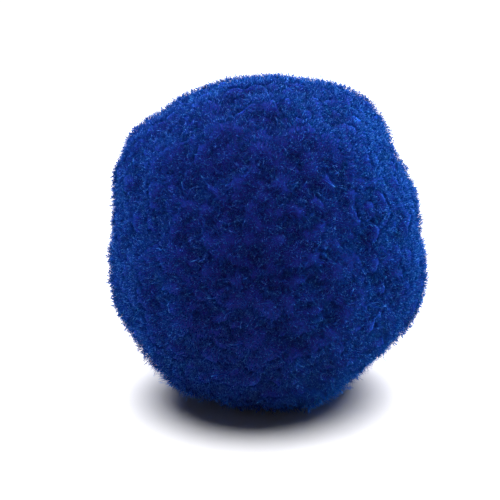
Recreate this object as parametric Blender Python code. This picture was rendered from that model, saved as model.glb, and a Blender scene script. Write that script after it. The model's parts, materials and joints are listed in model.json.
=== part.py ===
"""A ball-shaped yarn pom pom: locks of cut pile that stand out all round from the tied middle.

Run it with: blender --background --python part.py
Metres, +Z up. The ball rests on z = 0 with its box centred on the origin, and its front faces -Y.
"""

import math
import random
from collections import namedtuple

import bmesh
import bpy
from mathutils import Matrix, Vector

# The trimmed ball, before it is set down.
BALL_WIDTH = 0.0586  # left to right
BALL_DEPTH = 0.0588  # front to back
BALL_HEIGHT = 0.0630  # top to bottom
PILE_SAG = 0.0019  # how far the pile gives way under the ball's weight
FOOT_CLEARANCE = 0.0004  # the locks round the foot stop this far above the surface

# The locks: six fields of 7 x 7, which close up round the ball.
LOCKS_PER_FIELD_SIDE = 7
MIDDLE_RADIUS = 0.0130  # where the roots are fused by the tie
ROOT_GAP = 0.00036  # between neighbouring locks at the root
BLOOM = 0.7  # share of the gap, which would widen with the radius, that the blooming ends close
CROWN_RISE = 0.0010  # height of a lock's domed end above its shoulder
CROWN_INSET = 0.0010  # how far the domed end draws in from the shoulder
TRIM_UNEVENNESS = 0.0003  # how far the scissors strayed, in and out
LOCK_DRIFT = 0.20  # how far a corner between locks strays, as a share of a lock's width
SWIRL = math.radians(24)  # turn of the rows between the ball's waist and its poles
SEED = 11

ROYAL_BLUE = (0.009, 0.050, 0.310, 1.0)

# Where the ball is fuller or flatter than an even one. Each row is a soft swelling, or a hollow where rise
# is below zero. Seen from the front and a little above, turn goes round the outline from the right-hand side
# over the top, and lean brings the place towards the viewer, or behind the outline where it is below zero.
VIEW_ELEVATION = math.radians(20)
Swelling = namedtuple("Swelling", "turn_deg lean_deg rise spread_deg")
SWELLINGS = (
    Swelling(2, 0, -0.0013, 11),  # right side, above its fullest place
    Swelling(38, 0, -0.0030, 9),  # the nick under the right shoulder
    Swelling(55, 0, 0.0029, 12),  # right shoulder
    Swelling(142, 0, 0.0026, 22),  # left shoulder
    Swelling(175, 5, -0.0007, 13),  # flat left side
    Swelling(197, 0, 0.0014, 12),  # the corner below it
    Swelling(232, 4, 0.0014, 21),  # lower left
    Swelling(288, 0, 0.0007, 14),
    Swelling(311, 0, -0.0011, 12),  # flat lower right
    Swelling(337, 2, 0.0020, 20),  # right side, low
    Swelling(80, 42, 0.0006, 20),  # on the front
    Swelling(345, 48, -0.0007, 22),
    Swelling(205, 55, 0.0007, 22),
    Swelling(100, -45, 0.0012, 26),  # on the back
    Swelling(200, -50, -0.0010, 24),
    Swelling(320, -48, 0.0014, 24),
    Swelling(20, -60, -0.0008, 22),
)


def clear_scene():
    for thing in list(bpy.data.objects):
        bpy.data.objects.remove(thing)


def direction_of(swelling):
    """The swelling's unit direction from the tied middle."""
    turn, lean = math.radians(swelling.turn_deg), math.radians(swelling.lean_deg)
    right = Vector((1, 0, 0))
    up = Vector((0, math.sin(VIEW_ELEVATION), math.cos(VIEW_ELEVATION)))
    to_viewer = Vector((0, -math.cos(VIEW_ELEVATION), math.sin(VIEW_ELEVATION)))
    on_outline = right * math.cos(turn) + up * math.sin(turn)
    return on_outline * math.cos(lean) + to_viewer * math.sin(lean)


def reach(direction):
    """How far the trimmed pile reaches from the tied middle along a unit direction."""
    stretched = Vector((
        direction.x / (BALL_WIDTH / 2),
        direction.y / (BALL_DEPTH / 2),
        direction.z / (BALL_HEIGHT / 2),
    ))
    distance = 1 / stretched.length
    for swelling in SWELLINGS:
        away = direction.angle(direction_of(swelling)) / math.radians(swelling.spread_deg)
        distance += swelling.rise * math.exp(-away * away)
    return distance


def field_cells(mesh, chance):
    """Lays the fields of four-sided cells on the tied middle, one cell for each lock, and returns them."""
    bmesh.ops.create_cube(mesh, size=2)
    bmesh.ops.subdivide_edges(mesh, edges=mesh.edges[:], cuts=LOCKS_PER_FIELD_SIDE - 1, use_grid_fill=True)
    drift = LOCK_DRIFT * math.pi / 2 / LOCKS_PER_FIELD_SIDE
    for corner in mesh.verts:
        # The tangent makes the cells near a field's edge as wide as those at its middle.
        direction = Vector(math.tan(value * math.pi / 4) for value in corner.co).normalized()
        direction.rotate(Matrix.Rotation(SWIRL * direction.z, 3, "Z"))
        direction += Vector([chance.uniform(-drift, drift) for _ in range(3)])
        corner.co = direction.normalized() * MIDDLE_RADIUS
    return mesh.faces[:]


def trimmed_lengths(corners, centre_height, stray):
    """How far the corners of a lock's end lie from the tied middle, given their unit directions.

    A lock that would reach through the surface is built shorter, with its end level on it. One beside the
    foot is shorter too, by as much as its lowest corner needs, and keeps its own end.
    """
    middle = sum(corners, Vector()).normalized()
    if centre_height + middle.z * reach(middle) < 0:
        return [-centre_height / corner.z for corner in corners]
    lengths = [reach(corner) + stray for corner in corners]
    share = 1.0
    for corner, length in zip(corners, lengths):
        if corner.z < 0:
            share = min(share, (centre_height - FOOT_CLEARANCE) / (-corner.z * length))
    return [length * share for length in lengths]


def draw_out(end, centre_height, stray, short_by):
    """Moves a lock's end straight out from the tied middle, to short_by under the trimmed ball."""
    corners = [corner.co.normalized() for corner in end.verts]
    lengths = trimmed_lengths(corners, centre_height, stray)
    for corner, direction, length in zip(end.verts, corners, lengths):
        corner.co = direction * (length - short_by)


def raise_lock(mesh, cell, centre_height, stray):
    """Draws one lock out of its cell: straight sides that fan out to the shoulder, then the domed end."""
    gap_middles = []
    for corner in cell.verts:
        across_gap = next(edge for edge in corner.link_edges if edge not in cell.edges[:])
        gap_middles.append(across_gap.other_vert(corner).co.copy())
    end = bmesh.ops.extrude_discrete_faces(mesh, faces=[cell])["faces"][0]
    for corner, gap_middle in zip(end.verts, gap_middles):
        corner.co = corner.co.lerp(gap_middle, BLOOM)
    draw_out(end, centre_height, stray, short_by=CROWN_RISE)
    bmesh.ops.inset_individual(mesh, faces=[end], thickness=CROWN_INSET, use_even_offset=True)
    draw_out(end, centre_height, stray, short_by=0)


def box_middle(mesh):
    """The middle of the mesh's box, left to right and front to back."""
    across = [corner.co.x for corner in mesh.verts]
    along = [corner.co.y for corner in mesh.verts]
    return (min(across) + max(across)) / 2, (min(along) + max(along)) / 2


def yarn_material():
    """Royal blue acrylic yarn, cut and brushed out: matt, with a soft sheen at a slant."""
    yarn = bpy.data.materials.new("blue_acrylic_yarn")
    yarn.use_nodes = True
    shader = yarn.node_tree.nodes["Principled BSDF"]
    shader.inputs["Base Color"].default_value = ROYAL_BLUE
    shader.inputs["Roughness"].default_value = 0.85
    shader.inputs["Metallic"].default_value = 0.0
    shader.inputs["Sheen Weight"].default_value = 0.4
    return yarn


def build_pile():
    """The whole pom pom as one solid, because its locks are one with the middle that their roots make."""
    chance = random.Random(SEED)
    mesh = bmesh.new()
    centre_height = BALL_HEIGHT / 2 - PILE_SAG
    cells = field_cells(mesh, chance)
    bmesh.ops.inset_individual(mesh, faces=cells, thickness=ROOT_GAP / 2, use_even_offset=True)
    for cell in cells:
        raise_lock(mesh, cell, centre_height, chance.uniform(-TRIM_UNEVENNESS, TRIM_UNEVENNESS))
    middle_x, middle_y = box_middle(mesh)
    bmesh.ops.translate(mesh, verts=mesh.verts, vec=(-middle_x, -middle_y, centre_height))
    data = bpy.data.meshes.new("pom_pom_pile")
    mesh.to_mesh(data)
    mesh.free()
    data.materials.append(yarn_material())
    return bpy.data.objects.new("pom_pom_pile", data)


def main():
    clear_scene()
    pom_pom = bpy.data.collections.new("pom_pom")
    bpy.context.scene.collection.children.link(pom_pom)
    pom_pom.objects.link(build_pile())


main()
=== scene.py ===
"""A royal blue yarn pom pom, about 60 mm across, that rests on white card in a studio.

Metres, +Z up, front towards -Y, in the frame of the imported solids.
"""

import json
import math

import bmesh
import bpy
import numpy as np
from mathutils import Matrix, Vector

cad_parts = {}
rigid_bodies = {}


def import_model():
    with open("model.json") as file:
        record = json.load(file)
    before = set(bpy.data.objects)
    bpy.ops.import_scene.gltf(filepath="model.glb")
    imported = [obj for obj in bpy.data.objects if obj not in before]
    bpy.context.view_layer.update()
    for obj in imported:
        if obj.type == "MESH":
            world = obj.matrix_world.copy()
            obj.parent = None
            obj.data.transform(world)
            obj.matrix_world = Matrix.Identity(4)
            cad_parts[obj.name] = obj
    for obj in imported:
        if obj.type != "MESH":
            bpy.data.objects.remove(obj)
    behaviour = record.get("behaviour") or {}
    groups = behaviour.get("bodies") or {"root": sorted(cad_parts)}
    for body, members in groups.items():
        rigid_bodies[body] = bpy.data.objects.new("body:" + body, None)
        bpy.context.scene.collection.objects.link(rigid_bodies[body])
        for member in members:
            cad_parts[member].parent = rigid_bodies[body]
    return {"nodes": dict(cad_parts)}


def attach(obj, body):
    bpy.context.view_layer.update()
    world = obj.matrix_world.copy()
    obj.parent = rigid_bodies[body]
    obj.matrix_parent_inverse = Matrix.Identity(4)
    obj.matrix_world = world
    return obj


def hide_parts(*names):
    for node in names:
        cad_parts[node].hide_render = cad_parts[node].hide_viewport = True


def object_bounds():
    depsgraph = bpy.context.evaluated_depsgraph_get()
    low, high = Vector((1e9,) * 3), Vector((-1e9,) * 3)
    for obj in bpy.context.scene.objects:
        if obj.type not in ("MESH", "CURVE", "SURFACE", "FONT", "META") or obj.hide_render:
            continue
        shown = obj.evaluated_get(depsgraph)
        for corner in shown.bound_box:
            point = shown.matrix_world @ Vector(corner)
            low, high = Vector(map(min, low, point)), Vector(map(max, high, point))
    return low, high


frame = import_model()
cad_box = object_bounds()
locks = frame["nodes"]["pom_pom_pile"]

# ----------------------------------------------------------------------------------------------------
# Packed pile under the surface. Acrylic yarn is wound, tied once at the middle and cut, and each
# yarn's end blooms into a tuft. Under their tips the fibres stand so close that they look like one
# dark body. It follows the ends of the locks, parted into tufts and let down by the tips' length.
# ----------------------------------------------------------------------------------------------------
TRIM_SMOOTHING = math.radians(3.5)  # width over which the ends of the locks are evened out
TRIM_BIAS = 0.0004  # of neighbouring corners, those this much further out count for e times as much
LOCK_END_SHARE = 0.8  # of the ball's reach, past which a corner belongs to a lock's end
PILE_RISE = 0.0011  # how far the loose tips of the tallest tufts reach past the ends of the locks
BALL_FINENESS = 6  # subdivisions of the icosphere, which give faces about 1 mm wide
BODY_DEPTH = 0.0009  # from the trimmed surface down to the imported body
TUFT_SIZE = 0.0038
TUFT_WANDER = 0.0022  # how far the gaps between the tufts stray from straight lines
TUFT_GAP_DEPTH = 0.0018  # of the deepest gaps
TUFT_GAP_WIDTH = 0.25  # from a gap's middle to the top of its side, by the tuft's size
SHUT_GAP_SHARE = 0.1  # depth of the shallowest gaps, by that of the deepest
OPEN_STRETCH_SIZE = 0.006  # of the stretches where gaps stand open, or are shut
OPENING_RANGE = {"From Min": 0.4, "From Max": 0.62}  # noise at which a gap starts to open, and is open
TUFT_UNEVENNESS = 0.0011  # how much lower the few shortest tufts end
CLUMP_SIZE = 0.0028  # of the clumps of fibre within the tufts
CLUMP_DEPTH = 0.0010
TUFT_SEED = 3.0
GRAIN_SIZE = 0.0005  # of the mottling where light gets in between the fibres
NOISE_MIDDLE = (0.5, 0.5, 0.5)
NOISE_RANGE = {"From Min": 0.3, "From Max": 0.7}  # what soft noise seldom leaves

tied_middle = (cad_box[0] + cad_box[1]) / 2

# Where loose tips stand out further round the outline than the locks do, or are pressed in: turn
# round the outline from the right-hand side over the top, rise and spread.
LOOSE_PLACES = (
    (1, -0.0004, 4),  # right side
    (36, -0.0004, 3),  # the nick under the right shoulder
    (56, -0.0007, 4),  # right shoulder
    (109, 0.0006, 8),  # left of the top
    (127, 0.0009, 4),  # left shoulder
    (222, 0.0005, 7),  # lower left
    (319, -0.0005, 6),  # lower right
    (339, -0.0004, 5),  # right side, low
    (354, 0.0005, 3),
)
VIEW_ELEVATION = math.radians(20)  # of the photo's view, which shows this outline


def loose_rise(directions):
    """How much further than the locks the loose tips reach in each of the directions."""
    upward = np.array((0, math.sin(VIEW_ELEVATION), math.cos(VIEW_ELEVATION)))
    rise = np.zeros(len(directions))
    for turn_deg, place_rise, spread_deg in LOOSE_PLACES:
        turn = math.radians(turn_deg)
        place = np.array((math.cos(turn), 0, 0)) + upward * math.sin(turn)
        away = np.degrees(np.arccos(np.clip(directions @ place, -1, 1))) / spread_deg
        rise += place_rise * np.exp(-away * away)
    return rise


def lock_ends():
    """Unit directions and distances, from the tied middle, of the corners near the ends of the locks."""
    places = np.unique(np.array([v.co for v in locks.data.vertices]).round(6), axis=0)
    corners = places - np.array(tied_middle)
    distances = np.linalg.norm(corners, axis=1)
    outer = distances > LOCK_END_SHARE * distances.max()
    return corners[outer] / distances[outer, None], distances[outer]


def trimmed_ball(name):
    """A closed ball that follows the tips of the tallest tufts, with the same level foot as the locks."""
    mesh = bmesh.new()
    bmesh.ops.create_icosphere(mesh, subdivisions=BALL_FINENESS, radius=1)
    data = bpy.data.meshes.new(name)
    mesh.to_mesh(data)
    mesh.free()
    directions = np.array([v.co for v in data.vertices])
    directions /= np.linalg.norm(directions, axis=1)[:, None]
    end_directions, end_distances = lock_ends()
    angles = np.arccos(np.clip(directions @ end_directions.T, -1, 1))
    weights = np.exp(-((angles / TRIM_SMOOTHING) ** 2) + (end_distances - end_distances.max()) / TRIM_BIAS)
    reaches = (weights @ end_distances) / weights.sum(axis=1) + PILE_RISE + loose_rise(directions)
    points = np.array(tied_middle) + directions * reaches[:, None]
    points[:, 2] = np.maximum(points[:, 2], 0)
    data.vertices.foreach_set("co", points.ravel())
    data.shade_smooth()
    ball = bpy.data.objects.new(name, data)
    bpy.context.scene.collection.objects.link(ball)
    return ball


def linear(hex_colour):
    """An sRGB hex colour as the linear colour that a shader takes."""
    channels = [int(hex_colour[i : i + 2], 16) / 255 for i in (1, 3, 5)]
    return (*[c / 12.92 if c <= 0.04045 else ((c + 0.055) / 1.055) ** 2.4 for c in channels], 1.0)


def add_node(tree, kind, inputs=(), **settings):
    """Adds a node. Its inputs, in order or by name or number, are values or sockets to link."""
    node = tree.nodes.new(kind)
    for name, value in settings.items():
        setattr(node, name, value)
    keyed = inputs if isinstance(inputs, dict) else dict(enumerate(inputs))
    for key, value in keyed.items():
        if isinstance(value, bpy.types.NodeSocket):
            tree.links.new(value, node.inputs[key])
        else:
            node.inputs[key].default_value = value
    return node


def new_tree(name, sockets):
    """A Geometry Nodes tree with named inputs, and the sockets that its inputs come from."""
    tree = bpy.data.node_groups.new(name, "GeometryNodeTree")
    for socket_name, kind in sockets:
        tree.interface.new_socket(name=socket_name, in_out="INPUT", socket_type=f"NodeSocket{kind}")
    return tree, add_node(tree, "NodeGroupInput").outputs


TUFT_INPUTS = (
    ("Tied middle", "Vector"),
    ("Tuft size", "Float"),
    ("Tuft wander", "Float"),
    ("Tuft gap depth", "Float"),
    ("Tuft gap width", "Float"),
    ("Shut gap share", "Float"),
    ("Open stretch size", "Float"),
    ("Tuft unevenness", "Float"),
    ("Clump size", "Float"),
    ("Clump depth", "Float"),
    ("Tuft seed", "Float"),
)


def tuft_tree():
    """Parts a ball's surface into tufts with gaps between them, and lets it down by a depth."""
    sockets = (("Ball", "Geometry"), ("Depth", "Float"), *TUFT_INPUTS, ("Yarn", "Material"))
    tree, given = new_tree("tufts", sockets)
    tree.interface.new_socket(name="Tufted ball", in_out="OUTPUT", socket_type="NodeSocketGeometry")
    tree.interface.new_socket(name="Tuft shade", in_out="OUTPUT", socket_type="NodeSocketFloat")
    place = add_node(tree, "GeometryNodeInputPosition").outputs[0]
    from_middle = add_node(tree, "ShaderNodeVectorMath", (place, given["Tied middle"]), operation="SUBTRACT")
    outward = add_node(tree, "ShaderNodeVectorMath", (from_middle.outputs[0],), operation="NORMALIZE")

    # Soft noise with lumps of three sizes. Each step gives its cloud a seed of its own.
    clouds = {}
    for name, size, detail, seed_step in (
        ("stray", given["Tuft size"], 2.0, 0.0),
        ("openness", given["Open stretch size"], 1.0, 1.0),
        ("clumps", given["Clump size"], 2.0, 2.0),
    ):
        fineness = add_node(tree, "ShaderNodeMath", (1.0, size), operation="DIVIDE").outputs[0]
        seed = add_node(tree, "ShaderNodeMath", (given["Tuft seed"], seed_step), operation="ADD").outputs[0]
        inputs = {"Vector": place, "W": seed, "Scale": fineness, "Detail": detail}
        clouds[name] = add_node(tree, "ShaderNodeTexNoise", inputs, noise_dimensions="4D").outputs

    # The tufts are cells round scattered points, with wandering edges. Noise strays from its middle by a
    # half at most, so it is doubled.
    off_centre = add_node(
        tree,
        "ShaderNodeVectorMath",
        (clouds["stray"]["Color"], NOISE_MIDDLE),
        operation="SUBTRACT",
    ).outputs[0]
    wander = add_node(tree, "ShaderNodeMath", (given["Tuft wander"], 2.0), operation="MULTIPLY").outputs[0]
    stray = add_node(tree, "ShaderNodeVectorMath", {0: off_centre, "Scale": wander}, operation="SCALE")
    strayed = add_node(tree, "ShaderNodeVectorMath", (place, stray.outputs[0]), operation="ADD")
    cells = {
        "Vector": strayed.outputs[0],
        "W": given["Tuft seed"],
        "Scale": add_node(tree, "ShaderNodeMath", (1.0, given["Tuft size"]), operation="DIVIDE").outputs[0],
    }
    to_edge = add_node(
        tree,
        "ShaderNodeTexVoronoi",
        cells,
        voronoi_dimensions="4D",
        feature="DISTANCE_TO_EDGE",
    ).outputs["Distance"]
    each_tuft = add_node(tree, "ShaderNodeTexVoronoi", cells, voronoi_dimensions="4D").outputs["Color"]
    tuft_chances = add_node(tree, "ShaderNodeSeparateXYZ", (each_tuft,)).outputs

    # Gaps are deep in some places and nearly shut in others, a few tufts are short, and all are clumped.
    gap = add_node(
        tree,
        "ShaderNodeMapRange",
        {"Value": to_edge, "From Max": given["Tuft gap width"], "To Min": 1.0, "To Max": 0.0},
        interpolation_type="SMOOTHSTEP",
    ).outputs[0]
    openness = add_node(
        tree,
        "ShaderNodeMapRange",
        {"Value": clouds["openness"][0], **OPENING_RANGE, "To Min": given["Shut gap share"]},
    ).outputs[0]
    clump_cloud = clouds["clumps"][0]
    clumps = add_node(tree, "ShaderNodeMapRange", {"Value": clump_cloud, **NOISE_RANGE}).outputs[0]
    open_gap = add_node(tree, "ShaderNodeMath", (gap, openness), operation="MULTIPLY").outputs[0]
    shortness = add_node(tree, "ShaderNodeMath", (tuft_chances[0], 2.0), operation="POWER").outputs[0]
    shares = (open_gap, shortness, clumps)
    depths = (given["Tuft gap depth"], given["Tuft unevenness"], given["Clump depth"])
    falls = [
        add_node(tree, "ShaderNodeMath", share_and_depth, operation="MULTIPLY").outputs[0]
        for share_and_depth in zip(shares, depths)
    ]
    fall = falls[0]
    for part in (*falls[1:], given["Depth"]):
        fall = add_node(tree, "ShaderNodeMath", (fall, part), operation="ADD").outputs[0]
    inward = add_node(tree, "ShaderNodeMath", (fall, -1.0), operation="MULTIPLY").outputs[0]
    offset = add_node(
        tree,
        "ShaderNodeVectorMath",
        {0: outward.outputs[0], "Scale": inward},
        operation="SCALE",
    ).outputs[0]
    kept = add_node(tree, "GeometryNodeCaptureAttribute", (given["Ball"],))
    kept.capture_items.new("FLOAT", "tuft shade")
    tree.links.new(tuft_chances[1], kept.inputs["tuft shade"])
    let_down = add_node(tree, "GeometryNodeSetPosition", {"Geometry": kept.outputs[0], "Offset": offset})
    real = add_node(tree, "GeometryNodeRealizeInstances", (let_down.outputs[0],)).outputs[0]
    coloured = add_node(tree, "GeometryNodeSetMaterial", {"Geometry": real, "Material": given["Yarn"]})
    add_node(tree, "NodeGroupOutput", (coloured.outputs[0], kept.outputs["tuft shade"]))
    return tree


def grow(name, tree, inputs):
    """A plain mesh piece that a tree makes of the trimmed ball."""
    ball = trimmed_ball("ball")
    modifier = ball.modifiers.new("growth", "NODES")
    modifier.node_group = tree
    for socket_name, value in inputs.items():
        modifier[tree.interface.items_tree[socket_name].identifier] = value
    mesh = bpy.data.meshes.new_from_object(ball.evaluated_get(bpy.context.evaluated_depsgraph_get()))
    mesh.name = name
    bpy.data.objects.remove(ball)
    piece = bpy.data.objects.new(name, mesh)
    bpy.context.scene.collection.objects.link(piece)
    return piece


# Acrylic fibre packed deep in the pile: matt, and mottled finely where light gets in between the
# fibres. At a slant the fuzz on it looks lighter.
def packed_fibre_material():
    material = bpy.data.materials.new("packed_acrylic_fibre")
    material.use_nodes = True
    tree = material.node_tree
    shader = tree.nodes["Principled BSDF"]
    place = add_node(tree, "ShaderNodeTexCoord").outputs["Object"]
    grain = add_node(tree, "ShaderNodeTexNoise", {"Vector": place, "Scale": 1 / GRAIN_SIZE, "Detail": 2.0})
    mottling = add_node(tree, "ShaderNodeMapRange", {"Value": grain.outputs[0], **NOISE_RANGE}).outputs[0]
    # A mix of colours takes its share at input 0 and the two colours at 6 and 7, and gives output 2.
    shade = add_node(
        tree,
        "ShaderNodeMix",
        {0: mottling, 6: linear("#0C1552"), 7: linear("#101F68")},
        data_type="RGBA",
    ).outputs[2]
    tree.links.new(shade, shader.inputs["Base Color"])
    shader.inputs["Roughness"].default_value = 0.9
    shader.inputs["Specular IOR Level"].default_value = 0.05
    shader.inputs["Subsurface Weight"].default_value = 0.7
    shader.inputs["Subsurface Radius"].default_value = (0.3, 0.7, 1.0)
    shader.inputs["Subsurface Scale"].default_value = 0.002
    shader.inputs["Sheen Weight"].default_value = 0.3
    shader.inputs["Sheen Roughness"].default_value = 0.5
    shader.inputs["Sheen Tint"].default_value = linear("#2878F0")
    return material


tufts = tuft_tree()
tuft_sizes = {
    "Tied middle": tuple(tied_middle),
    "Tuft size": TUFT_SIZE,
    "Tuft wander": TUFT_WANDER,
    "Tuft gap depth": TUFT_GAP_DEPTH,
    "Tuft gap width": TUFT_GAP_WIDTH,
    "Shut gap share": SHUT_GAP_SHARE,
    "Open stretch size": OPEN_STRETCH_SIZE,
    "Tuft unevenness": TUFT_UNEVENNESS,
    "Clump size": CLUMP_SIZE,
    "Clump depth": CLUMP_DEPTH,
    "Tuft seed": TUFT_SEED,
}
packed_fibre = packed_fibre_material()
pile_body = grow("pile_body", tufts, {**tuft_sizes, "Depth": BODY_DEPTH, "Yarn": packed_fibre})
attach(pile_body, "root")
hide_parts("pom_pom_pile")

# ----------------------------------------------------------------------------------------------------
# Cut pile. The tips of the tufts are brushed out to fine crimped fibres that lie every way, and
# trimmed to one ball with scissors. Every fibre is a closed sliver with a slight crook, rooted in the
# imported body. They are parted into six fields, one for each side, so that no piece is too large.
# ----------------------------------------------------------------------------------------------------
FIBRES_PER_MM2 = 15.0
FIBRE_WIDTH = 0.000075  # real ones are 0.02 to 0.05 mm; as coarse as they need to be to close the surface
ROOT_DEPTH = 0.0010  # from a fibre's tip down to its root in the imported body
TOUSLE = 0.75  # how far the fibres lean every way
LEAST_STEEPNESS = 0.5  # cosine of the lean past which a fibre isn't made any longer
TRIM_UNEVENNESS = 0.0004  # how far tips end below the trimmed surface
STRAY_REACH = 0.00036  # how far tips stand proud; each further one of these has e times as few
STRAY_RARITY = 0.01  # the chance that ends the longest strays
CRIMP_SIZE = 0.0008  # wavelength of the crimp that neighbouring fibres share
CRIMP_DEPTH = 0.0003
TUFT_SHADE_SHARE = 0.25  # how much of a fibre's shade its tuft gives
OWN_SHADE_SHARE = 0.24  # how much is its own
GRAIN_SHADE_SHARE = 0.40  # how much the fine mottling gives
LIGHTEST_SHADE = 0.9  # scales the shades down, so that a painted glint's shade of 1 stays clear of the rest
PAINTED_GLINT_SHARE = 0.18  # of the fibres whose tips are painted with a glint
FOOT_SOFTNESS = 0.0008  # the pile closes up within this height over the floor

# The fibre's shapes: the crook's height by the fibre's length, then its place sideways and its width
# by the fibre's width. The last is a fibre whose tip curls over, and which carries a painted glint.
CROOKS = ((0.40, 0.7, 1.0), (0.55, 1.2, 1.0), (0.65, 1.0, 1.0))
CURL = (0.90, 0.4, 2.2)
SIDE_TOLERANCE = 1e-6  # so that a place between two sides is never left out
SEED = 7


def fibre_shape(number, crook_height, crook_side, crook_width, material):
    """A fibre of width and length 1 along +Z: a closed sliver, widest at the two corners of its crook."""
    mesh = bmesh.new()
    root = mesh.verts.new((0, 0, 0))
    tip = mesh.verts.new((0, 0, 1))
    near = mesh.verts.new((crook_side, -crook_width / 2, crook_height))
    far = mesh.verts.new((crook_side, crook_width / 2, crook_height))
    for corners in ((root, far, near), (tip, near, far), (root, near, tip), (root, tip, far)):
        mesh.faces.new(corners)
    data = bpy.data.meshes.new(f"fibre_shape_{number}")
    mesh.to_mesh(data)
    mesh.free()
    data.shade_smooth()
    data.materials.append(material)
    rise = data.attributes.new("rise", "FLOAT", "POINT")
    rise.data.foreach_set("value", [v.co.z for v in data.vertices])
    return bpy.data.objects.new(data.name, data)


def pile_tree():
    """Stands crooked fibres all over one side of a tufted ball."""
    tree, given = new_tree(
        "cut_pile",
        (
            ("Ball", "Geometry"),
            ("Fibre shapes", "Collection"),
            ("Side", "Vector"),
            ("Fibres per square metre", "Float"),
            ("Fibre width", "Float"),
            ("Root depth", "Float"),
            ("Tousle", "Float"),
            ("Trim unevenness", "Float"),
            ("Stray reach", "Float"),
            ("Crimp size", "Float"),
            ("Crimp depth", "Float"),
            ("Grain size", "Float"),
            ("Glint share", "Float"),
            ("Foot softness", "Float"),
            *TUFT_INPUTS,
            ("Seed", "Int"),
            ("Fibre", "Material"),
        ),
    )
    tree.interface.new_socket(name="Pile", in_out="OUTPUT", socket_type="NodeSocketGeometry")

    # What each fibre draws by chance: five numbers between a low and a high one, and two vectors that
    # point any way. Each step gives its draw a seed of its own.
    chances = {}
    for name, low, high, seed_step in (
        ("rarity", STRAY_RARITY, 1.0, 2),
        ("unevenness", 0.0, 1.0, 4),
        ("own light", 0.0, 1.0, 6),
        ("crook", 0.0, len(CROOKS) - 0.001, 8),  # never reaches the number of crooks
        ("glint", 0.0, 1.0, 9),
    ):
        seed = add_node(tree, "ShaderNodeMath", (given["Seed"], seed_step), operation="ADD").outputs[0]
        chances[name] = add_node(tree, "FunctionNodeRandomValue", {2: low, 3: high, "Seed": seed}).outputs[1]
    for name, seed_step in (("lean", 1), ("turn", 7)):
        seed = add_node(tree, "ShaderNodeMath", (given["Seed"], seed_step), operation="ADD").outputs[0]
        inputs = {0: (-1, -1, -1), 1: (1, 1, 1), "Seed": seed}
        drawn = add_node(tree, "FunctionNodeRandomValue", inputs, data_type="FLOAT_VECTOR")
        chances[name] = drawn.outputs[0]

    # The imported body's surface, let down a little further, is where the fibres are rooted.
    fine_ball = add_node(tree, "GeometryNodeSubdivisionSurface", {"Mesh": given["Ball"], "Level": 1})
    tufted = add_node(tree, "GeometryNodeGroup", node_tree=tufts)
    passed_on = {name: given[name] for name in tuft_sizes}
    for name, socket in {**passed_on, "Ball": fine_ball.outputs[0], "Depth": given["Root depth"]}.items():
        tree.links.new(socket, tufted.inputs[name])

    # The side of the ball that this field covers: where its direction is the nearest of the six.
    place = add_node(tree, "GeometryNodeInputPosition").outputs[0]
    from_middle = add_node(tree, "ShaderNodeVectorMath", (place, given["Tied middle"]), operation="SUBTRACT")
    outward = add_node(
        tree,
        "ShaderNodeVectorMath",
        (from_middle.outputs[0],),
        operation="NORMALIZE",
    ).outputs[0]
    unsigned = add_node(tree, "ShaderNodeVectorMath", (outward,), operation="ABSOLUTE").outputs[0]
    sizes = add_node(tree, "ShaderNodeSeparateXYZ", (unsigned,)).outputs
    larger = add_node(tree, "ShaderNodeMath", sizes[:2], operation="MAXIMUM").outputs[0]
    largest = add_node(tree, "ShaderNodeMath", (larger, sizes[2]), operation="MAXIMUM").outputs[0]
    along_side = add_node(tree, "ShaderNodeVectorMath", (outward, given["Side"]), operation="DOT_PRODUCT")
    least = add_node(tree, "ShaderNodeMath", (largest, SIDE_TOLERANCE), operation="SUBTRACT").outputs[0]
    on_side = add_node(
        tree,
        "ShaderNodeMath",
        (along_side.outputs[1], least),
        operation="GREATER_THAN",
    ).outputs[0]
    roots = add_node(
        tree,
        "GeometryNodeDistributePointsOnFaces",
        {
            "Mesh": tufted.outputs[0],
            "Selection": on_side,
            "Density": given["Fibres per square metre"],
            "Seed": given["Seed"],
        },
    ).outputs

    # Each fibre leans its own way from the tuft's surface, as long as it takes to reach the trimmed
    # surface. Its stray reach comes from a logarithm that is below zero, so it adds to the length.
    lean = add_node(
        tree,
        "ShaderNodeVectorMath",
        {0: chances["lean"], "Scale": given["Tousle"]},
        operation="SCALE",
    ).outputs[0]
    leaning = add_node(tree, "ShaderNodeVectorMath", (roots["Normal"], lean), operation="ADD").outputs[0]
    way = add_node(tree, "ShaderNodeVectorMath", (leaning,), operation="NORMALIZE").outputs[0]
    rarity = add_node(tree, "ShaderNodeMath", (chances["rarity"], math.e), operation="LOGARITHM").outputs[0]
    stray = add_node(tree, "ShaderNodeMath", (rarity, given["Stray reach"]), operation="MULTIPLY").outputs[0]
    falls_short = add_node(
        tree,
        "ShaderNodeMath",
        (chances["unevenness"], given["Trim unevenness"]),
        operation="MULTIPLY",
    ).outputs[0]
    cut_off = add_node(tree, "ShaderNodeMath", (stray, falls_short), operation="ADD").outputs[0]
    height = add_node(tree, "ShaderNodeMath", (given["Root depth"], cut_off), operation="SUBTRACT").outputs[0]
    facing = add_node(tree, "ShaderNodeVectorMath", (way, outward), operation="DOT_PRODUCT").outputs[1]
    steepness = add_node(tree, "ShaderNodeMath", (facing, LEAST_STEEPNESS), operation="MAXIMUM").outputs[0]
    reach = add_node(tree, "ShaderNodeMath", (height, steepness), operation="DIVIDE").outputs[0]
    span = add_node(tree, "ShaderNodeVectorMath", {0: way, "Scale": reach}, operation="SCALE").outputs[0]
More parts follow.
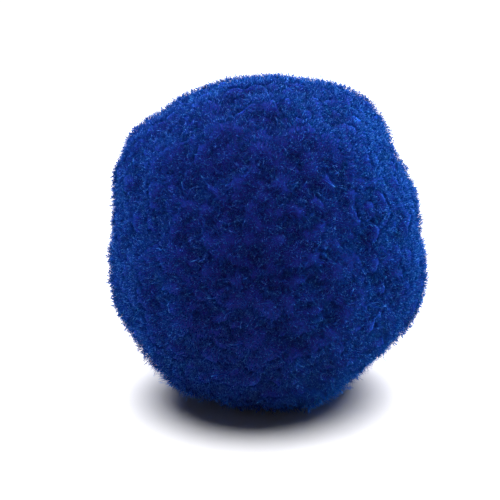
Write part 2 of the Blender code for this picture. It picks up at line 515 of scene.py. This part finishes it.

    # How light each fibre is, by its tuft, by itself and by the mottling. Painted glints are the lightest.
    fineness = add_node(tree, "ShaderNodeMath", (1.0, given["Grain size"]), operation="DIVIDE").outputs[0]
    grain = add_node(tree, "ShaderNodeTexNoise", {"Vector": place, "Scale": fineness, "Detail": 2.0})
    mottling = add_node(tree, "ShaderNodeMapRange", {"Value": grain.outputs[0], **NOISE_RANGE}).outputs[0]
    lights = (tufted.outputs[1], chances["own light"], mottling)
    shades = [
        add_node(tree, "ShaderNodeMath", light_and_share, operation="MULTIPLY").outputs[0]
        for light_and_share in zip(lights, (TUFT_SHADE_SHARE, OWN_SHADE_SHARE, GRAIN_SHADE_SHARE))
    ]
    shade = shades[0]
    for part in shades[1:]:
        shade = add_node(tree, "ShaderNodeMath", (shade, part), operation="ADD").outputs[0]
    shade = add_node(tree, "ShaderNodeMath", (shade, LIGHTEST_SHADE), operation="MULTIPLY").outputs[0]
    glints = add_node(
        tree,
        "ShaderNodeMath",
        (chances["glint"], given["Glint share"]),
        operation="LESS_THAN",
    ).outputs[0]
    shade = add_node(tree, "ShaderNodeMath", (shade, glints), operation="MAXIMUM").outputs[0]
    kept = add_node(tree, "GeometryNodeCaptureAttribute", (roots["Points"],))
    for kind, name in (("VECTOR", "span"), ("FLOAT", "shade"), ("FLOAT", "glints")):
        kept.capture_items.new(kind, name)
    for name, socket in (("span", span), ("shade", shade), ("glints", glints)):
        tree.links.new(socket, kept.inputs[name])

    # A fibre is turned along its span and stretched to its length, and a longer one is thinner. Fibres
    # with a painted glint have the curled shape, and the others one of the crooked shapes.
    shapes = add_node(
        tree,
        "GeometryNodeCollectionInfo",
        {"Collection": given["Fibre shapes"], "Separate Children": True, "Reset Children": True},
    )
    turned = add_node(
        tree,
        "FunctionNodeAxesToRotation",
        (kept.outputs["span"], chances["turn"]),
        primary_axis="Z",
        secondary_axis="X",
    )
    length = add_node(tree, "ShaderNodeVectorMath", (kept.outputs["span"],), operation="LENGTH").outputs[1]
    section = add_node(
        tree,
        "ShaderNodeMath",
        (given["Fibre width"], given["Root depth"]),
        operation="MULTIPLY",
    ).outputs[0]
    width = add_node(tree, "ShaderNodeMath", (section, length), operation="DIVIDE").outputs[0]
    crook = add_node(tree, "ShaderNodeMath", (chances["crook"],), operation="FLOOR").outputs[0]
    curled = add_node(tree, "ShaderNodeMath", (kept.outputs["glints"], len(CROOKS)), operation="MULTIPLY")
    shape = add_node(tree, "ShaderNodeMath", (crook, curled.outputs[0]), operation="MAXIMUM").outputs[0]
    placed = add_node(
        tree,
        "GeometryNodeInstanceOnPoints",
        {
            "Points": kept.outputs[0],
            "Instance": shapes.outputs[0],
            "Pick Instance": True,
            "Instance Index": shape,
            "Rotation": turned.outputs[0],
            "Scale": add_node(tree, "ShaderNodeCombineXYZ", (width, width, length)).outputs[0],
        },
    )
    pile = add_node(tree, "GeometryNodeRealizeInstances", (placed.outputs[0],)).outputs[0]

    # The crimp that neighbouring fibres share, which grows towards the tips.
    rise = add_node(tree, "GeometryNodeInputNamedAttribute", {"Name": "rise"}, data_type="FLOAT").outputs[0]
    fineness = add_node(tree, "ShaderNodeMath", (1.0, given["Crimp size"]), operation="DIVIDE").outputs[0]
    crimp = add_node(tree, "ShaderNodeTexNoise", {"Vector": place, "Scale": fineness, "Detail": 1.0})
    sway = add_node(
        tree,
        "ShaderNodeVectorMath",
        (crimp.outputs["Color"], NOISE_MIDDLE),
        operation="SUBTRACT",
    ).outputs[0]
    doubled = add_node(tree, "ShaderNodeMath", (rise, 2.0), operation="MULTIPLY").outputs[0]
    depth = add_node(tree, "ShaderNodeMath", (doubled, given["Crimp depth"]), operation="MULTIPLY").outputs[0]
    offset = add_node(tree, "ShaderNodeVectorMath", {0: sway, "Scale": depth}, operation="SCALE").outputs[0]
    crimped = add_node(tree, "GeometryNodeSetPosition", {"Geometry": pile, "Offset": offset}).outputs[0]

    # The foot: what would reach through the floor is pressed together just above it.
    across, along, up = add_node(tree, "ShaderNodeSeparateXYZ", (place,)).outputs
    softness = given["Foot softness"]
    sunk = add_node(tree, "ShaderNodeMath", (up, softness), operation="SUBTRACT").outputs[0]
    sunk_share = add_node(tree, "ShaderNodeMath", (sunk, softness), operation="DIVIDE").outputs[0]
    left_share = add_node(tree, "ShaderNodeMath", (sunk_share,), operation="EXPONENT").outputs[0]
    pressed = add_node(tree, "ShaderNodeMath", (softness, left_share), operation="MULTIPLY").outputs[0]
    resting = add_node(
        tree,
        "GeometryNodeSetPosition",
        {
            "Geometry": crimped,
            "Selection": add_node(tree, "ShaderNodeMath", (up, softness), operation="LESS_THAN").outputs[0],
            "Position": add_node(tree, "ShaderNodeCombineXYZ", (across, along, pressed)).outputs[0],
        },
    )

    # The pile's own map: across, how light the fibre is; up, from its root to its tip.
    strand_map = add_node(tree, "ShaderNodeCombineXYZ", (kept.outputs["shade"], rise)).outputs[0]
    mapped = add_node(
        tree,
        "GeometryNodeStoreNamedAttribute",
        {"Geometry": resting.outputs[0], "Name": "OFBake", "Value": strand_map},
        data_type="FLOAT2",
        domain="CORNER",
    ).outputs[0]
    coloured = add_node(tree, "GeometryNodeSetMaterial", {"Geometry": mapped, "Material": given["Fibre"]})
    add_node(tree, "NodeGroupOutput", (coloured.outputs[0],))
    return tree


# Brushed acrylic fibre, dyed royal blue in the mass: matt, and thin enough that much of the light
# passes through it, clearer and greener than what it throws back. So the tips and the rim look lighter
# than the roots, whose shade is painted, and the tips that curl over show painted glints as fine dots.
def fibre_material():
    material = bpy.data.materials.new("brushed_acrylic_fibre")
    material.use_nodes = True
    tree = material.node_tree
    shader = tree.nodes["Principled BSDF"]
    strand_map = add_node(tree, "ShaderNodeUVMap", uv_map="OFBake").outputs[0]
    lightness, rise, _ = add_node(tree, "ShaderNodeSeparateXYZ", (strand_map,)).outputs

    # The dye, with painted shade that darkens it towards the root.
    fibre = add_node(
        tree,
        "ShaderNodeMix",
        {0: lightness, 6: linear("#0D1A66"), 7: linear("#173890")},
        data_type="RGBA",
    ).outputs[2]
    out_of_shade = add_node(
        tree,
        "ShaderNodeMapRange",
        {"Value": rise, "From Min": 0.3, "From Max": 0.95, "To Min": 0.5, "To Max": 1.0},
    ).outputs[0]
    dye_with_painted_root_shade = add_node(
        tree,
        "ShaderNodeMix",
        {0: out_of_shade, 6: linear("#090F38"), 7: fibre},
        data_type="RGBA",
    ).outputs[2]

    # A painted glint: a pale colour near the tip of each fibre that curls over.
    painted_glint_fibre = add_node(
        tree,
        "ShaderNodeMath",
        (lightness, (1 + LIGHTEST_SHADE) / 2),
        operation="GREATER_THAN",
    ).outputs[0]
    near_tip = add_node(
        tree,
        "ShaderNodeMapRange",
        {"Value": rise, "From Min": 0.80, "From Max": 0.88},
    ).outputs[0]
    glint = add_node(tree, "ShaderNodeMath", (painted_glint_fibre, near_tip), operation="MULTIPLY").outputs[0]
    colour = add_node(
        tree,
        "ShaderNodeMix",
        {0: glint, 6: dye_with_painted_root_shade, 7: linear("#5070CA")},
        data_type="RGBA",
    ).outputs[2]
    tree.links.new(colour, shader.inputs["Base Color"])
    shader.inputs["Roughness"].default_value = 0.6
    shader.inputs["Specular IOR Level"].default_value = 0.04

    # What passes through, clearest at the tip.
    outermost = add_node(
        tree,
        "ShaderNodeMapRange",
        {"Value": rise, "From Min": 0.75, "From Max": 1.0},
    ).outputs[0]
    clear_tint = add_node(
        tree,
        "ShaderNodeMix",
        {0: outermost, 6: linear("#0A95DB"), 7: linear("#70E8F0")},
        data_type="RGBA",
    ).outputs[2]
    through_colour = add_node(tree, "ShaderNodeMix", {0: 0.6, 6: dye_with_painted_root_shade, 7: clear_tint}, data_type="RGBA")
    through = add_node(tree, "ShaderNodeBsdfTranslucent", {"Color": through_colour.outputs[2]}).outputs[0]
    clearness = add_node(
        tree,
        "ShaderNodeMapRange",
        {"Value": rise, "From Min": 0.75, "From Max": 1.0, "To Min": 0.42, "To Max": 0.75},
    ).outputs[0]
    both = add_node(tree, "ShaderNodeMixShader", (clearness, shader.outputs[0], through)).outputs[0]
    tree.links.new(both, tree.nodes["Material Output"].inputs["Surface"])
    return material


fibre_shapes = bpy.data.collections.new("fibre_shapes")
yarn_fibre = fibre_material()
for number, crook in enumerate((*CROOKS, CURL)):
    fibre_shapes.objects.link(fibre_shape(number, *crook, yarn_fibre))

cut_pile = pile_tree()
pile_sizes = {
    **tuft_sizes,
    "Fibre shapes": fibre_shapes,
    "Fibres per square metre": FIBRES_PER_MM2 * 1e6,
    "Fibre width": FIBRE_WIDTH,
    "Root depth": ROOT_DEPTH,
    "Tousle": TOUSLE,
    "Trim unevenness": TRIM_UNEVENNESS,
    "Stray reach": STRAY_REACH,
    "Crimp size": CRIMP_SIZE,
    "Crimp depth": CRIMP_DEPTH,
    "Grain size": GRAIN_SIZE,
    "Glint share": PAINTED_GLINT_SHARE,
    "Foot softness": FOOT_SOFTNESS,
    "Seed": SEED,
    "Fibre": yarn_fibre,
}
SIDES = {
    "front": (0, -1, 0),
    "back": (0, 1, 0),
    "left": (-1, 0, 0),
    "right": (1, 0, 0),
    "top": (0, 0, 1),
    "under": (0, 0, -1),
}
pile_pieces = [pile_body]
for side_name, side in SIDES.items():
    pile = grow(f"pile_{side_name}", cut_pile, {**pile_sizes, "Side": side})
    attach(pile, "root")
    pile_pieces.append(pile)
for shape in list(fibre_shapes.objects):
    bpy.data.objects.remove(shape)
bpy.data.collections.remove(fibre_shapes)

# ----------------------------------------------------------------------------------------------------
# Studio. The pom pom stands on a sheet of warm white card under one broad, slightly cool softbox, in
# white surroundings. Four tinted panels round it light the fuzz from the sides, and not the card.
# ----------------------------------------------------------------------------------------------------
CARD_SIZE = 0.66
SOFTBOX_PLACE = (0.07, 0.20, 0.52)
SOFTBOX_WIDTH = 1.0
SOFTBOX_POWER = 18.5
PANELS = (  # name, place, width and height, power and colour
    ("left_panel", (-0.6, 0.20, 0.18), (0.8, 0.36), 11.0, "#7CDCFF"),
    ("right_panel", (0.6, 0.20, 0.15), (0.9, 0.36), 19.2, "#6CF0FF"),
    ("back_panel", (0.0, 0.75, 0.25), (1.2, 0.40), 8.5, "#80F0FF"),
    ("front_panel", (0.0, -0.75, 0.55), (1.2, 0.40), 7.0, "#FFBCDC"),
)
AMBIENT = 0.05  # light from the surroundings
SEEN_WHITE = 1.1  # how bright the surroundings look
VIEW_DISTANCE = 0.36  # of the camera, at VIEW_ELEVATION
PHOTO_WIDTH = 500  # pixels
PIXELS_PER_METRE = 5300  # at the ball's middle
BALL_PLACE = (267, 237)  # pixel that the ball's middle shows at
SENSOR_WIDTH = 36.0


# Matt white card, warm in tone, which the light overhead bleaches out.
def card_material():
    material = bpy.data.materials.new("matt_white_card")
    material.use_nodes = True
    shader = material.node_tree.nodes["Principled BSDF"]
    shader.inputs["Base Color"].default_value = linear("#F6F4EB")
    shader.inputs["Roughness"].default_value = 0.9
    shader.inputs["Specular IOR Level"].default_value = 0.1
    return material


def add_light(name, place, size, power, colour, shape):
    """A flat soft light that faces down, and that the camera doesn't see."""
    lamp = bpy.data.lights.new(name, "AREA")
    lamp.shape = shape
    lamp.size, lamp.size_y = size
    lamp.energy = power
    lamp.color = linear(colour)[:3]
    lamp_object = bpy.data.objects.new(name, lamp)
    lamp_object.location = place
    lamp_object.visible_camera = False
    bpy.context.scene.collection.objects.link(lamp_object)
    return lamp_object


bpy.ops.mesh.primitive_plane_add(size=CARD_SIZE, location=(0, 0, 0))
floor = bpy.context.object
floor.name = "floor"
floor.data.materials.append(card_material())

add_light("softbox", SOFTBOX_PLACE, (SOFTBOX_WIDTH, SOFTBOX_WIDTH), SOFTBOX_POWER, "#F0F2FF", "DISK")
pom_pom = bpy.data.collections.new("pom_pom")
for piece in pile_pieces:
    pom_pom.objects.link(piece)
for name, place, size, power, colour in PANELS:  # each stands upright, turned to the middle
    panel = add_light(name, place, size, power, colour, "RECTANGLE")
    level_place = Vector((place[0], place[1], 0))
    panel.rotation_euler = level_place.to_track_quat("Z", "Y").to_euler()
    panel.light_linking.receiver_collection = pom_pom

world = bpy.data.worlds.new("white_surroundings")
bpy.context.scene.world = world
world.use_nodes = True
sky = world.node_tree
background = sky.nodes["Background"]
background.inputs["Color"].default_value = (1, 1, 1, 1)
seen = add_node(sky, "ShaderNodeLightPath").outputs["Is Camera Ray"]
strength = add_node(sky, "ShaderNodeMapRange", {"Value": seen, "To Min": AMBIENT, "To Max": SEEN_WHITE})
sky.links.new(strength.outputs[0], background.inputs["Strength"])

back = Vector((0, -math.cos(VIEW_ELEVATION), math.sin(VIEW_ELEVATION)))
up = Vector((0, math.sin(VIEW_ELEVATION), math.cos(VIEW_ELEVATION)))
half_frame = PHOTO_WIDTH / 2
aim = tied_middle + Vector(((half_frame - BALL_PLACE[0]) / PIXELS_PER_METRE, 0, 0))
aim -= up * (half_frame - BALL_PLACE[1]) / PIXELS_PER_METRE
camera_data = bpy.data.cameras.new("camera")
camera_data.sensor_width = SENSOR_WIDTH
camera_data.lens = SENSOR_WIDTH * VIEW_DISTANCE / (PHOTO_WIDTH / PIXELS_PER_METRE)
camera_data.clip_start = 0.01
camera = bpy.data.objects.new("camera", camera_data)
camera.location = aim + back * VIEW_DISTANCE
camera.rotation_euler = back.to_track_quat("Z", "Y").to_euler()
bpy.context.scene.collection.objects.link(camera)
bpy.context.scene.camera = camera
bpy.context.scene.view_settings.view_transform = "Standard"
